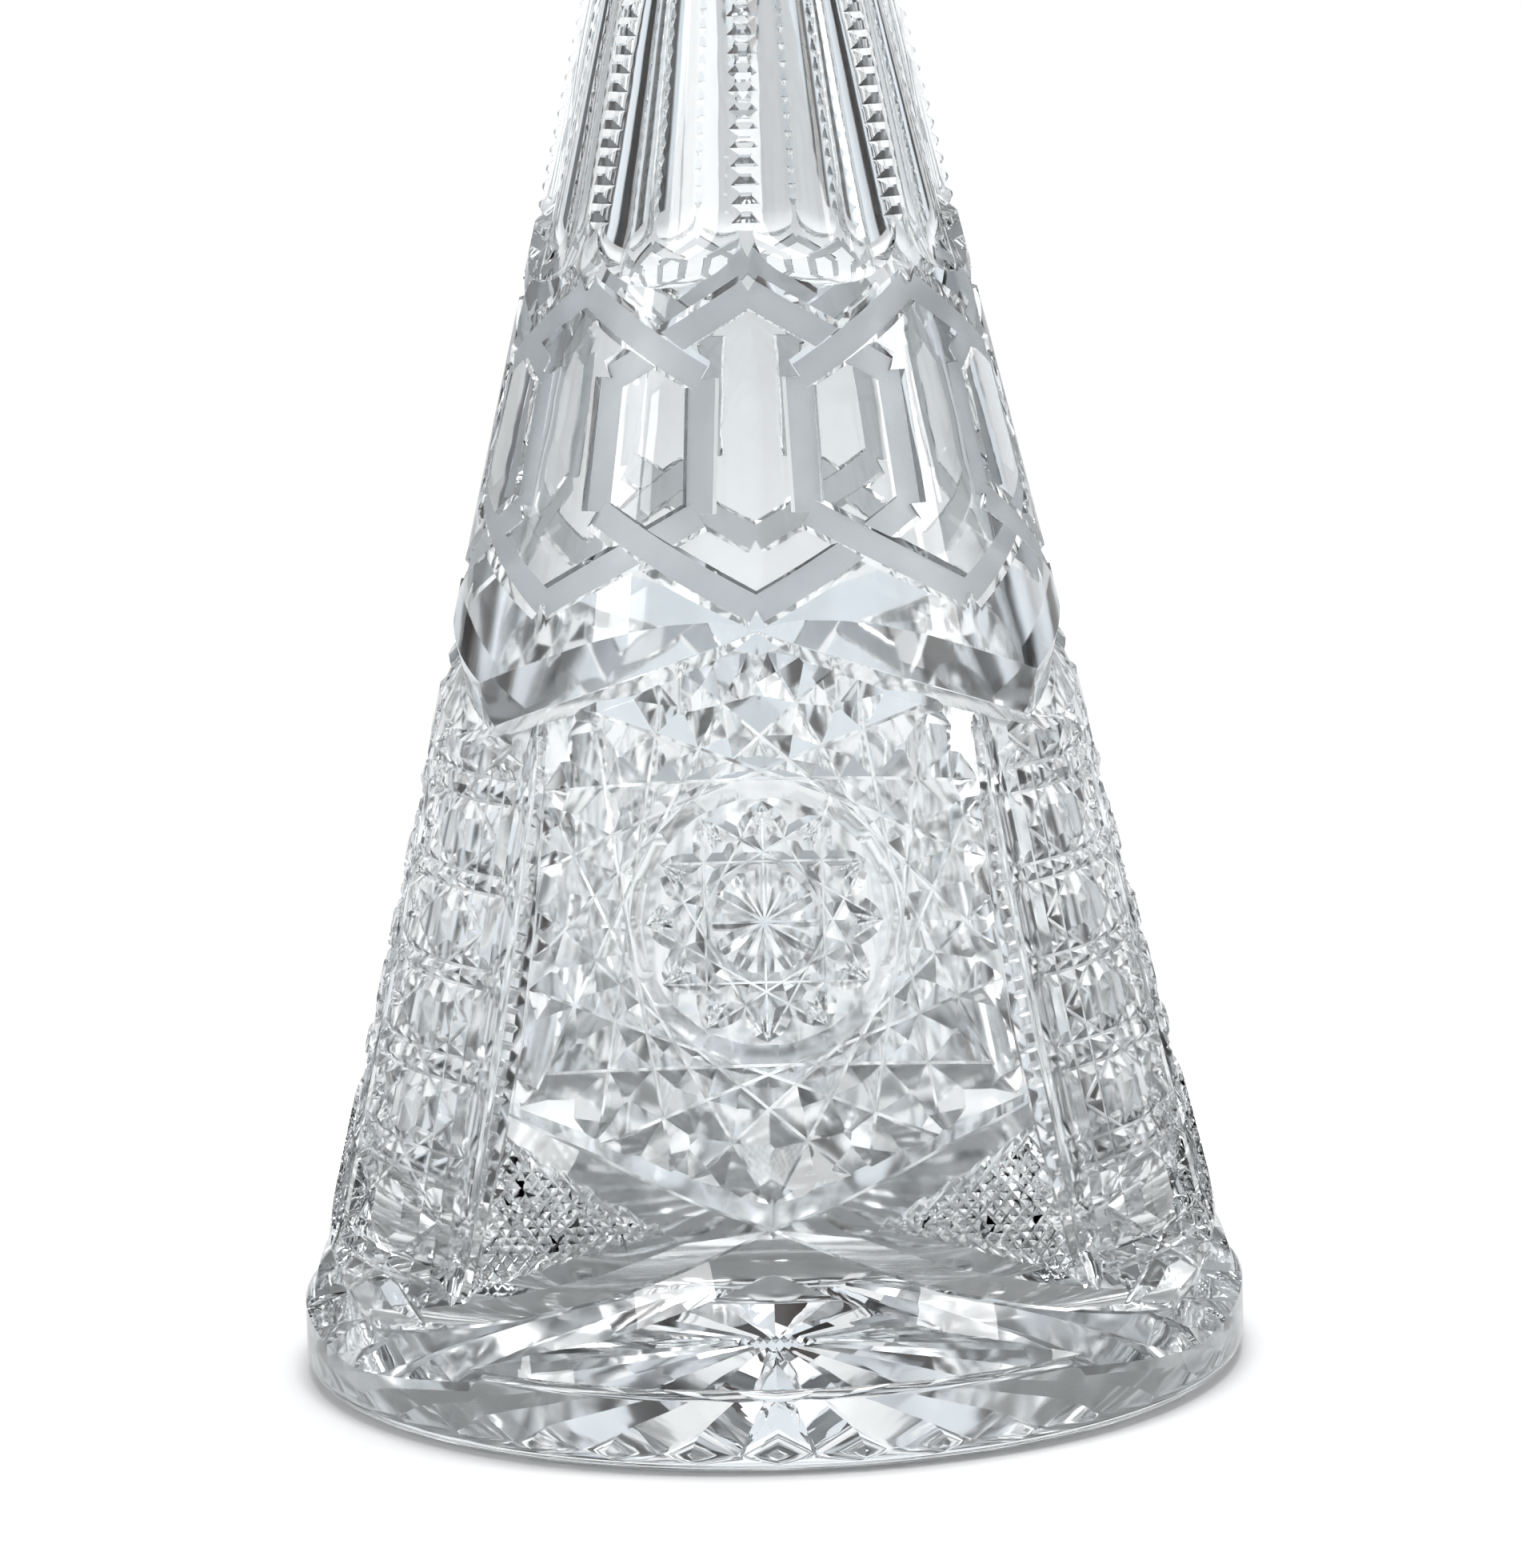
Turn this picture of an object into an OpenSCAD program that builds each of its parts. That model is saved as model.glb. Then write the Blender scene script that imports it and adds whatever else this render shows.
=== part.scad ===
// Cut crystal decanter with a ground glass stopper. A heavy round foot carries a
// straight cone that runs up into a fluted neck and a flared lip. Millimetres, +Z up,
// origin at the centre of the resting face. The first cut panel faces -Y.

/* [Body] */
// Diameter of the plain foot, the widest part
foot_d = 140; // [117:1:168]
// Height of the plain foot below the cut panels
foot_h = 12; // [10:0.5:16]
// Rounding of the foot's lower edge
foot_round = 3; // [1.5:0.5:4.5]
// Rounding of the foot's upper edge
foot_top_round = 1.5; // [0.5:0.25:3]
// Thickness of the glass below the liquid
base_t = 18; // [14:0.5:24]
// Wall thickness of the cone, square to its side
wall_t = 7; // [5.5:0.25:8.5]
// Rounding between the inside wall and the floor
floor_round = 14; // [8:1:18]

/* [Neck] */
// Height of the narrowest part of the neck above the table
waist_h = 242; // [202:1:291]
// Outside diameter of the neck at its narrowest
neck_d = 35; // [34:0.5:42]
// Radius of the bend from the cone into the neck
neck_bend = 148; // [110:2:180]
// Length of straight neck below the lip's flare
neck_straight = 6; // [3:0.5:12]
// Outside diameter of the lip
lip_d = 48; // [44:0.5:58]
// Radius of the lip's flare
lip_bend = 22; // [15:0.5:30]
// Thickness of the lip's edge
lip_t = 4; // [3:0.25:6]

/* [Stopper seat] */
// Diameter of the ground seat at the rim
seat_d = 24; // [20:0.5:26]
// Depth of the ground seat below the rim
seat_depth = 32; // [27:0.5:38]
// Diameter the seat loses for each millimetre of depth
seat_taper = 0.1; // [0.05:0.01:0.12]
// Gap between the plug and its seat, square to the axis
seat_gap = 0.06; // [0.03:0.01:0.1]

/* [Cutting] */
// Number of flutes around the neck
neck_flutes = 8; // [6:1:10]
// Radius of the wheel's rim that cuts a neck flute
neck_flute_r = 13; // [11:0.5:16]
// Depth of a neck flute
neck_flute_depth = 1.8; // [1:0.1:2.4]
// Height where the neck flutes begin
neck_flute_h = 164; // [140:1:180]
// Number of hobstar panels around the lower body
panels = 3; // [3:1:4]
// Angle of the tall flutes from the middle of their panel
side_flute_angle = 42; // [36:0.5:44]
// Radius of the tall flutes that frame the panels
side_flute_r = 4; // [3:0.25:5]
// Depth of the tall flutes
side_flute_depth = 1.2; // [0.6:0.1:1.8]
// Height of the hobstar's centre
ring_h = 75; // [62:1:84]
// Outside diameter of the ring around the hobstar
ring_d = 39; // [32:0.5:44]
// Width of the ring's groove
ring_w = 2.6; // [1.6:0.1:3.6]
// Depth of the ring's groove
ring_depth = 1.2; // [0.6:0.1:2]
// Height of the groove between the lower body and the upper shell
shoulder_h = 109; // [100:1:118]
// Depth of the shoulder groove
shoulder_depth = 2.2; // [1:0.1:3]
// Half the width of the shoulder groove at the surface
shoulder_half_w = 3.4; // [2:0.1:5]
// Number of rays in the star under the foot
star_rays = 32; // [20:2:36]
// Diameter of the star under the foot
star_d = 116; // [90:1:120]
// Depth of the star's rays
star_depth = 2; // [1:0.1:3]

/* [Stopper] */
// Length of the ground plug
plug_l = 28; // [24:0.5:34]
// Height of the waist between the plug and the knob
stopper_waist_h = 7; // [5:0.5:10]
// Diameter of that waist
stopper_waist_d = 17; // [14:0.5:19]
// Width of the knob across its corners
knob_d = 50; // [42:1:60]
// Height of the knob
knob_h = 48; // [40:1:58]
// Number of facets around the knob
knob_sides = 8; // [6:1:10]

/* [Hidden] */
$fn = 96;
eps = 0.01;
crystal = [0.86, 0.91, 0.94, 0.55];

foot_r = foot_d / 2;
neck_r = neck_d / 2;
lip_r = lip_d / 2;
seat_r = seat_d / 2;
seat_slope = seat_taper / 2;
throat_r = seat_r - seat_depth * seat_slope;

// The side is the straight line from the foot's top edge that is tangent to the neck's bend
cone_r = foot_r - foot_top_round;
bend_x = neck_r + neck_bend;
bend_dx = bend_x - cone_r;
bend_dz = waist_h - foot_h;
lean = asin(neck_bend / norm([bend_dx, bend_dz])) - atan2(bend_dx, bend_dz);
function side_r(z) = cone_r - (z - foot_h) * tan(lean);
function inner_r(z) = side_r(z) - wall_t / cos(lean);

lip_turn = acos(1 - (lip_r - neck_r) / lip_bend);
flare_h = waist_h + neck_straight;
lip_h = flare_h + lip_bend * sin(lip_turn);
rim_h = lip_h + lip_t;
throat_h = foot_h + (cone_r - wall_t / cos(lean) - throat_r) / tan(lean);
edge_round = lip_t / 2;

// Points on an arc round c, from angle a to angle b
function arc(c, r, a, b, n) =
    [for (i = [0:n]) c + r * [cos(a + (b - a) * i / n), sin(a + (b - a) * i / n)]];

outer_profile = concat(
    [[0, 0]],
    arc([foot_r - foot_round, foot_round], foot_round, -90, 0, 6),
    arc([foot_r - foot_top_round, foot_h - foot_top_round], foot_top_round, 0, 90 - lean, 4),
    arc([bend_x, waist_h], neck_bend, 180 + lean, 180, 10),
    arc([neck_r + lip_bend, flare_h], lip_bend, 180, 180 - lip_turn, 8),
    arc([lip_r - edge_round, lip_h + edge_round], edge_round, 0, 90, 4),
    [[0, rim_h]]
);

inner_profile = concat(
    [[0, base_t], [inner_r(base_t + floor_round) - floor_round, base_t]],
    arc([inner_r(base_t + floor_round) - floor_round, base_t + floor_round],
        floor_round, -80, 0, 7),
    [[throat_r, throat_h], [throat_r, rim_h - seat_depth],
     [seat_r + eps * seat_slope, rim_h + eps], [0, rim_h + eps]]
);

// Puts its children on the cone at height z, with +X out along the surface's normal
module on_side(angle, z) {
    rotate([0, 0, angle - 90])
        translate([side_r(z), 0, z])
            rotate([0, -lean, 0]) children();
}

// One flute of the neck: the wheel follows an arc that leaves the cone at neck_flute_h and
// reaches the flute's full depth at the waist
module neck_flute() {
    waist_x = neck_r - neck_flute_depth;
    dx = side_r(neck_flute_h) - waist_x;
    dz = waist_h - neck_flute_h;
    sweep_r = (dx * dx + dz * dz) / (2 * dx);
    above = asin(neck_straight / 2 / (sweep_r - neck_flute_r));
    below = asin(dz / sweep_r) + 2;
    translate([waist_x + sweep_r, 0, waist_h])
        rotate([90, 0, 0]) rotate([0, 0, 180 - above])
            rotate_extrude(angle = above + below)
                translate([sweep_r - neck_flute_r, 0]) circle(r = neck_flute_r);
}

// A tall flute beside a panel, from the foot to the shoulder
module side_flute(angle) {
    low = foot_h + side_flute_r;
    high = shoulder_h - shoulder_half_w;
    on_side(angle, low)
        translate([side_flute_r - side_flute_depth, 0, 0])
            cylinder(r = side_flute_r, h = (high - low) / cos(lean));
}

// The round groove that frames a hobstar
module ring_groove(angle) {
    on_side(angle, ring_h)
        rotate([0, 90, 0])
            translate([0, 0, -ring_depth - ring_d / 8])
                difference() {
                    cylinder(d = ring_d, h = ring_d);
                    translate([0, 0, -eps])
                        cylinder(d = ring_d - 2 * ring_w, h = ring_d + 2 * eps);
                }
}

// The V groove that steps the lower body off from the upper shell
module shoulder_groove() {
    reach = foot_r;
    spread = shoulder_half_w * (reach - side_r(shoulder_h) + shoulder_depth) / shoulder_depth;
    rotate_extrude()
        polygon([[side_r(shoulder_h) - shoulder_depth, shoulder_h],
                 [reach, shoulder_h - spread], [reach, shoulder_h + spread]]);
}

// One V cut right across the underside makes two opposite rays
module star_ray(angle) {
    ray_l = star_d / 2;
    half_w = ray_l * tan(180 / star_rays) / 2;
    rotate([0, 0, angle]) rotate([0, -90, 0])
        translate([0, 0, -ray_l])
            linear_extrude(height = 2 * ray_l)
                polygon([[-eps, -half_w], [star_depth, 0], [-eps, half_w]]);
}

module decanter_body() {
    color(crystal)
        difference() {
            rotate_extrude() polygon(outer_profile);
            rotate_extrude() polygon(inner_profile);
            for (i = [0:neck_flutes - 1])
                rotate([0, 0, (i + 0.5) * 360 / neck_flutes]) neck_flute();
            for (i = [0:panels - 1], side = [-1, 1])
                side_flute(i * 360 / panels + side * side_flute_angle);
            for (i = [0:panels - 1])
                ring_groove(i * 360 / panels);
            shoulder_groove();
            for (i = [0:star_rays / 2 - 1])
                star_ray(i * 360 / star_rays);
        }
}

module stopper() {
    plug_top_r = seat_r - seat_gap;
    plug_low_r = plug_top_r - plug_l * seat_slope;
    waist_r = stopper_waist_d / 2;
    knob_r = knob_d / 2;
    knob_low = rim_h + stopper_waist_h;
    table_r = knob_r * 0.45;
    color(crystal) {
        rotate_extrude()
            polygon([[0, rim_h - plug_l], [plug_low_r - 1, rim_h - plug_l],
                     [plug_low_r, rim_h - plug_l + 1], [plug_top_r, rim_h],
                     [waist_r, rim_h + stopper_waist_h * 0.4],
                     [waist_r, knob_low + knob_h * 0.1], [0, knob_low + knob_h * 0.1]]);
        translate([0, 0, knob_low])
            rotate_extrude($fn = knob_sides)
                polygon([[0, 0], [waist_r * 0.9, 0], [knob_r * 0.72, knob_h * 0.16],
                         [knob_r, knob_h * 0.42], [knob_r * 0.92, knob_h * 0.7],
                         [table_r, knob_h], [0, knob_h]]);
    }
}

decanter_body();
stopper();
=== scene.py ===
import math
import random

import bmesh
import bpy
from mathutils import Matrix, Vector


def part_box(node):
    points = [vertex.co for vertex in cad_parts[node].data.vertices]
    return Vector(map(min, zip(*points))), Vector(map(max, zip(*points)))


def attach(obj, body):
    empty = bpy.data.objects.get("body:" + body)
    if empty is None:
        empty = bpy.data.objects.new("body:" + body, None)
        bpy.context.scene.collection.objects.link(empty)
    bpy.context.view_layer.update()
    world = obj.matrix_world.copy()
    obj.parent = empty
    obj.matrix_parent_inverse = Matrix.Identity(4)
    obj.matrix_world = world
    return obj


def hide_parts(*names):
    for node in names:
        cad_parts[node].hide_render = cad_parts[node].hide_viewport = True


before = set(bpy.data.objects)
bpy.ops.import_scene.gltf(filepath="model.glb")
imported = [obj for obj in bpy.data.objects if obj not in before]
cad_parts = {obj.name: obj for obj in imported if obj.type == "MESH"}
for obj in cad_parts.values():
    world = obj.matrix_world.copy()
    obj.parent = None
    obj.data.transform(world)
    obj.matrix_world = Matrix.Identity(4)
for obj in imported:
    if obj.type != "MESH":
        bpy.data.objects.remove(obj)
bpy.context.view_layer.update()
cutRandom = random.Random(12)
print("frame loaded")

# Sizes below are in millimetres, and become metres only where a mesh is made
toMetres = 0.001


def boxInMillimetres(node):
    low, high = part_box(node)
    return low / toMetres, high / toMetres


# The decanter's bare outline. Foot and rim come from the CAD part
blankShape = {
    "footHeight": 12.0,
    "footRound": 3.0,
    "footTopRound": 1.5,
    "baseThickness": 18.0,
    "wallThickness": 7.0,
    "floorRound": 14.0,
    "waistHeight": 242.0,
    "neckRadius": 17.5,
    "neckBend": 148.0,
    "neckStraight": 6.0,
    "lipRadius": 24.0,
    "lipBend": 22.0,
    "lipThickness": 4.0,
    "seatRadius": 12.0,
    "seatDepth": 32.0,
    "seatSlope": 0.05,
    "around": 240,
}

bodyLow, bodyHigh = boxInMillimetres("decanter_body")
stopperLow, stopperHigh = boxInMillimetres("stopper")
footRadius = bodyHigh.x
rimHeight = bodyHigh.z
coneRadius = footRadius - blankShape["footTopRound"]
bendCentre = blankShape["neckRadius"] + blankShape["neckBend"]
bendAcross = bendCentre - coneRadius
bendUp = blankShape["waistHeight"] - blankShape["footHeight"]
bendReach = math.hypot(bendAcross, bendUp)
coneLean = math.asin(blankShape["neckBend"] / bendReach) - math.atan2(bendAcross, bendUp)
bendStart = blankShape["waistHeight"] - blankShape["neckBend"] * math.sin(coneLean)
coneTip = blankShape["footHeight"] + coneRadius / math.tan(coneLean)
flareHeight = blankShape["waistHeight"] + blankShape["neckStraight"]


def coneSide(z):
    return coneRadius - (z - blankShape["footHeight"]) * math.tan(coneLean)


def outerRadius(z):
    # radius of the uncut side at a height
    if z <= blankShape["footHeight"]:
        return footRadius
    if z <= bendStart:
        return coneSide(z)
    if z <= blankShape["waistHeight"]:
        return bendCentre - math.sqrt(blankShape["neckBend"] ** 2 - (blankShape["waistHeight"] - z) ** 2)
    if z <= flareHeight:
        return blankShape["neckRadius"]
    rise = min(z - flareHeight, blankShape["lipBend"] * 0.99)
    flare = blankShape["lipBend"] - math.sqrt(blankShape["lipBend"] ** 2 - rise ** 2)
    return blankShape["neckRadius"] + flare


def sidePoint(turn, z):
    # a point on the uncut side and its outward normal; turn is in degrees from the first panel
    angle = math.radians(turn - 90)
    step = 0.05
    fall = (outerRadius(z + step) - outerRadius(z - step)) / (2 * step)
    radius = outerRadius(z)
    point = Vector((radius * math.cos(angle), radius * math.sin(angle), z))
    normal = Vector((math.cos(angle), math.sin(angle), -fall)).normalized()
    return point, normal


def arcPoints(centreX, centreZ, radius, startAngle, endAngle, steps):
    points = []
    for i in range(steps + 1):
        angle = math.radians(startAngle + (endAngle - startAngle) * i / steps)
        points.append((centreX + radius * math.cos(angle), centreZ + radius * math.sin(angle)))
    return points


def outerProfile():
    s = blankShape
    leanDegrees = math.degrees(coneLean)
    points = [(0.0, 0.0), (18.0, 0.0), (36.0, 0.0), (52.0, 0.0)]
    points += arcPoints(footRadius - s["footRound"], s["footRound"], s["footRound"], -90, 0, 8)
    topRound = s["footTopRound"]
    points += arcPoints(footRadius - topRound, s["footHeight"] - topRound, topRound, 0, 90 - leanDegrees, 6)
    z = s["footHeight"] + 3
    while z < bendStart - 4:
        points.append((coneSide(z), z))
        z += 6
    points += arcPoints(bendCentre, s["waistHeight"], s["neckBend"], 180 + leanDegrees, 180, 14)
    lipTurn = math.degrees(math.acos(1 - (s["lipRadius"] - s["neckRadius"]) / s["lipBend"]))
    points += arcPoints(s["neckRadius"] + s["lipBend"], flareHeight, s["lipBend"], 180, 180 - lipTurn, 10)
    edge = s["lipThickness"] / 2
    points += arcPoints(s["lipRadius"] - edge, rimHeight - edge, edge, 0, 90, 6)
    return points


def innerProfile():
    # from the rim down the ground seat, the throat and the cone to the rounded floor
    s = blankShape
    innerSide = s["wallThickness"] / math.cos(coneLean)
    throatRadius = s["seatRadius"] - s["seatDepth"] * s["seatSlope"]
    throatLow = s["footHeight"] + (coneRadius - innerSide - throatRadius) / math.tan(coneLean)
    floorTop = s["baseThickness"] + s["floorRound"]
    points = [(s["seatRadius"] + 0.6, rimHeight), (s["seatRadius"], rimHeight - 0.6)]
    for i in range(1, 5):
        down = s["seatDepth"] * i / 4
        points.append((s["seatRadius"] - down * s["seatSlope"], rimHeight - down))
    points.append((throatRadius, throatLow + 5))
    points += arcPoints(throatRadius - 12, throatLow + 4, 12, 0, -math.degrees(coneLean) * 0.2, 2)[1:]
    z = throatLow - 6
    while z > floorTop + 4:
        points.append((coneSide(z) - innerSide, z))
        z -= 8
    filletX = coneSide(floorTop) - innerSide - s["floorRound"]
    points += arcPoints(filletX, floorTop, s["floorRound"], 4, -86, 10)
    points += [(filletX * share, s["baseThickness"]) for share in (0.6, 0.25, 0.0)]
    return points


def revolve(profile, around):
    # spins a profile that starts and ends on the axis into one closed mesh
    mesh = bmesh.new()
    rings = []
    for radius, z in profile:
        if radius < 1e-6:
            rings.append([mesh.verts.new((0, 0, z))])
            continue
        ring = []
        for i in range(around):
            angle = 2 * math.pi * i / around
            ring.append(mesh.verts.new((radius * math.cos(angle), radius * math.sin(angle), z)))
        rings.append(ring)
    for lower, upper in zip(rings, rings[1:]):
        for i in range(around):
            j = (i + 1) % around
            corners = [lower[i % len(lower)], lower[j % len(lower)]]
            corners += [upper[j % len(upper)], upper[i % len(upper)]]
            # a ring of one point turns the four corners into three
            mesh.faces.new(list(dict.fromkeys(corners)))
    return mesh


def meshObject(name, mesh, scaled=True):
    if scaled:
        bmesh.ops.scale(mesh, vec=(toMetres,) * 3, verts=mesh.verts)
    data = bpy.data.meshes.new(name)
    mesh.to_mesh(data)
    mesh.free()
    thing = bpy.data.objects.new(name, data)
    bpy.context.scene.collection.objects.link(thing)
    return thing


# Every cut is a groove swept along the side. Its path is a list of (turn, height) and its
# section at each point is a list of (distance to the left of travel, depth below the side)
wheel = {
    "clearance": 1.2,   # how far a cutter stands out of the glass
    "step": 3.0,
    "tipLift": 0.05,
    "unevenness": 0.02,
    "valleyFlat": 0.22,   # half the width of the flat at the bottom of a mitre
}


def sweepCut(mesh, path, sections, satinStrip=None):
    # no two hand cuts are quite equally deep
    unevenness = cutRandom.uniform(-wheel["unevenness"], wheel["unevenness"])
    frames = [sidePoint(turn, z) for turn, z in path]
    rings = []
    for i, (point, normal) in enumerate(frames):
        along = frames[min(i + 1, len(frames) - 1)][0] - frames[max(i - 1, 0)][0]
        along = (along - along.dot(normal) * normal).normalized()
        across = normal.cross(along)
        rings.append([mesh.verts.new(point + across * offset - normal * (depth + unevenness))
                      for offset, depth in sections[i]])
    count = len(rings[0])
    for near, far in zip(rings, rings[1:]):
        for k in range(count):
            following = (k + 1) % count
            face = mesh.faces.new((near[k], near[following], far[following], far[k]))
            face.material_index = 1 if k == satinStrip else 0
    mesh.faces.new(list(reversed(rings[0])))
    mesh.faces.new(rings[-1])


def mitreSection(depth, rightSlope, leftSlope, flat):
    # slopes are width for each millimetre of depth
    reach = depth + wheel["clearance"]
    top = -wheel["clearance"]
    right = (-flat - rightSlope * reach, top)
    left = (flat + leftSlope * reach, top)
    return [right, (-flat, depth), (flat, depth), left]


def evenPath(corners, step):
    line = []
    for (turnA, zA), (turnB, zB) in zip(corners, corners[1:]):
        width = math.radians(turnB - turnA) * outerRadius((zA + zB) / 2)
        count = max(1, round(math.hypot(width, zB - zA) / step))
        line += [(turnA + (turnB - turnA) * i / count, zA + (zB - zA) * i / count) for i in range(count)]
    return line + [corners[-1]]


def pathLengths(path):
    lengths = [0.0]
    for (turnA, zA), (turnB, zB) in zip(path, path[1:]):
        width = math.radians(turnB - turnA) * outerRadius((zA + zB) / 2)
        lengths.append(lengths[-1] + math.hypot(width, zB - zA))
    return lengths


def runOut(travelled, total, startRun, endRun):
    # 1 along the cut and 0 at its pointed ends, where the wheel leaves the glass
    share = 1.0
    if travelled < startRun:
        share = min(share, 1 - (1 - travelled / startRun) ** 2)
    if total - travelled < endRun:
        share = min(share, 1 - (1 - (total - travelled) / endRun) ** 2)
    return share


def blendTable(table, value):
    # straight lines between the (value, result) rows of a short table
    if value <= table[0][0]:
        return table[0][1]
    for (a, resultA), (b, resultB) in zip(table, table[1:]):
        if value <= b:
            return resultA + (resultB - resultA) * (value - a) / (b - a)
    return table[-1][1]


def mitre(mesh, corners, depth, slopes=(1.3, 1.3), runs=(4.0, 4.0), step=None, flat=None):
    # one V cut; depth is a number or a function of (turn, height)
    flat = wheel["valleyFlat"] if flat is None else flat
    # short run-outs need closer points
    fine = min(runs) / 3 if min(runs) > 0 else wheel["step"]
    path = evenPath(corners, step or min(wheel["step"], max(fine, 0.8)))
    lengths = pathLengths(path)
    sections = []
    for (turn, z), travelled in zip(path, lengths):
        full = depth(turn, z) if callable(depth) else depth
        share = runOut(travelled, lengths[-1], runs[0], runs[1])
        deep = full * share - wheel["tipLift"] * (1 - share)
        sections.append(mitreSection(deep, slopes[0], slopes[1], flat * share))
    sweepCut(mesh, path, sections)


def unrolled(x, y, centreTurn, centreHeight):
    # the cone's side laid flat: x to the right and y up from a centre on it
    reach = (coneTip - centreHeight) / math.cos(coneLean)
    slant = math.hypot(x, reach - y)
    fan = math.atan2(x, reach - y)
    return centreTurn + math.degrees(fan / math.sin(coneLean)), coneTip - slant * math.cos(coneLean)


cutters = []


def newCutter(name):
    mesh = bmesh.new()
    cutters.append((name, mesh))
    return mesh


print("helpers ready")

# The three hobstar panels
panelCuts = {
    "count": 3,
    "ringHeight": 75.0,
    "ringRadius": 20.0,   # the long mitres all touch this circle
    "mitres": 18,
    "mitreDepthAtRing": 1.45,
    "mitreDepthAway": 2.1,
    "mitreSlope": 1.75,
    "topHeight": 112.6,
    "topFall": 0.258,
    "lowHeight": 36.0,
    "lowRise": 0.34,
    "borders": [(101, 40.0), (75, 37.9), (58, 37.6), (45, 38.5), (30, 40.3), (20, 41.5)],
    "starRadius": 16.9,
    "starPoints": 12,
    "starDepth": 0.95,
    "rayDepth": 0.9,
    "rayLength": 8.2,
}

panelTurns = [360 * i / panelCuts["count"] for i in range(panelCuts["count"])]


def borderTurn(z):
    rows = sorted(panelCuts["borders"])
    return blendTable(rows, z)


def insidePanel(turn, z):
    away = abs(turn)
    top = panelCuts["topHeight"] - panelCuts["topFall"] * away
    low = panelCuts["lowHeight"] + panelCuts["lowRise"] * away
    return away < borderTurn(z) and low < z < top


def cutLongMitres():
    p = panelCuts
    for k in range(p["mitres"]):
        facing = math.radians(90 + 360 * k / p["mitres"])
        inside = []
        for i in range(-70, 71):
            x = p["ringRadius"] * math.cos(facing) - i * math.sin(facing)
            y = p["ringRadius"] * math.sin(facing) + i * math.cos(facing)
            turn, z = unrolled(x, y, 0, p["ringHeight"])
            if insidePanel(turn, z):
                inside.append((i, turn, z))
        spans = [row[0] for row in inside]
        steps = max(8, round((spans[-1] - spans[0]) / 3))
        mesh = newCutter("mitre" + str(k))
        for panelTurn in panelTurns:
            path = []
            sections = []
            for j in range(steps + 1):
                t = spans[0] + (spans[-1] - spans[0]) * j / steps
                x = p["ringRadius"] * math.cos(facing) - t * math.sin(facing)
                y = p["ringRadius"] * math.sin(facing) + t * math.cos(facing)
                path.append(unrolled(x, y, panelTurn, p["ringHeight"]))
                share = runOut(t - spans[0], spans[-1] - spans[0], 4.0, 4.0)
                away = min(1.0, abs(t) / 22)
                full = p["mitreDepthAtRing"] + (p["mitreDepthAway"] - p["mitreDepthAtRing"]) * away
                deep = full * share - wheel["tipLift"] * (1 - share)
                flat = wheel["valleyFlat"] * share
                sections.append(mitreSection(deep, p["mitreSlope"], p["mitreSlope"], flat))
            sweepCut(mesh, path, sections)


def starCut(name, lines, depth, slope, runs, step=1.6):
    # straight cuts on the laid-out side of every panel, each from (x, y) to (x, y)
    mesh = newCutter(name)
    for panelTurn in panelTurns:
        for (xA, yA), (xB, yB) in lines:
            length = math.hypot(xB - xA, yB - yA)
            count = max(4, round(length / step))
            path = []
            sections = []
            for j in range(count + 1):
                share = j / count
                spot = (xA + (xB - xA) * share, yA + (yB - yA) * share)
                path.append(unrolled(spot[0], spot[1], panelTurn, panelCuts["ringHeight"]))
                taper = runOut(share * length, length, runs[0], runs[1])
                deep = depth * taper - wheel["tipLift"] * (1 - taper)
                sections.append(mitreSection(deep, slope, slope, wheel["valleyFlat"] * 0.7 * taper))
            sweepCut(mesh, path, sections)


def cutHobstars():
    p = panelCuts
    points = []
    for i in range(p["starPoints"]):
        angle = math.radians(90 + 360 * i / p["starPoints"])
        points.append((p["starRadius"] * math.cos(angle), p["starRadius"] * math.sin(angle), angle))
    for i in range(p["starPoints"]):
        a = points[i]
        b = points[(i + 4) % p["starPoints"]]
        starCut("star" + str(i), [(a[:2], b[:2])], p["starDepth"], 1.25, (3.0, 3.0))
    for i in range(p["starPoints"] // 2):
        angle = points[i][2]
        reach = p["starRadius"] if i == 0 else p["rayLength"] + 0.8
        end = (reach * math.cos(angle), reach * math.sin(angle))
        starCut("ray" + str(i), [((-end[0], -end[1]), end)], p["rayDepth"], 1.2, (2.5, 2.5))
    for side in (-1, 1):
        lines = []
        for x, y, angle in points:
            lean = angle + math.pi + math.radians(side * 10)
            lines.append(((x, y), (x + 4.6 * math.cos(lean), y + 4.6 * math.sin(lean))))
        starCut("fan" + str(side), lines, 0.5, 1.0, (1.2, 1.6), step=0.8)


# The wide crossing mitres at the foot of each panel, and the shoulder gable above it
gableCuts = {
    "crossing": [(-38.5, 47.2), (-24, 42.7), (-8.4, 36.3), (0, 33.3), (11.4, 27.9), (21.5, 23.4),
                 (33.5, 19.6), (42, 17.2), (52, 14.7), (60, 13.2), (63.5, 12.7)],
    "crossingDepth": [(-38.5, 0.9), (-30, 1.6), (-12, 2.3), (20, 2.3), (42, 2.2), (60, 2.0), (63.5, 1.6)],
    "crossingSlopes": (2.35, 1.35),
    "shoulderHeight": 114.5,
    "shoulderFall": 0.258,
    "shoulderDepth": [(0, 0.0), (3, 0.9), (7, 1.6), (14, 2.35), (22, 2.8), (31, 3.0), (60, 2.85),
                      (64, 1.3), (70, 0.8), (77, 0.0)],
    "shoulderSlopes": (1.05, 2.1),
}


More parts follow.
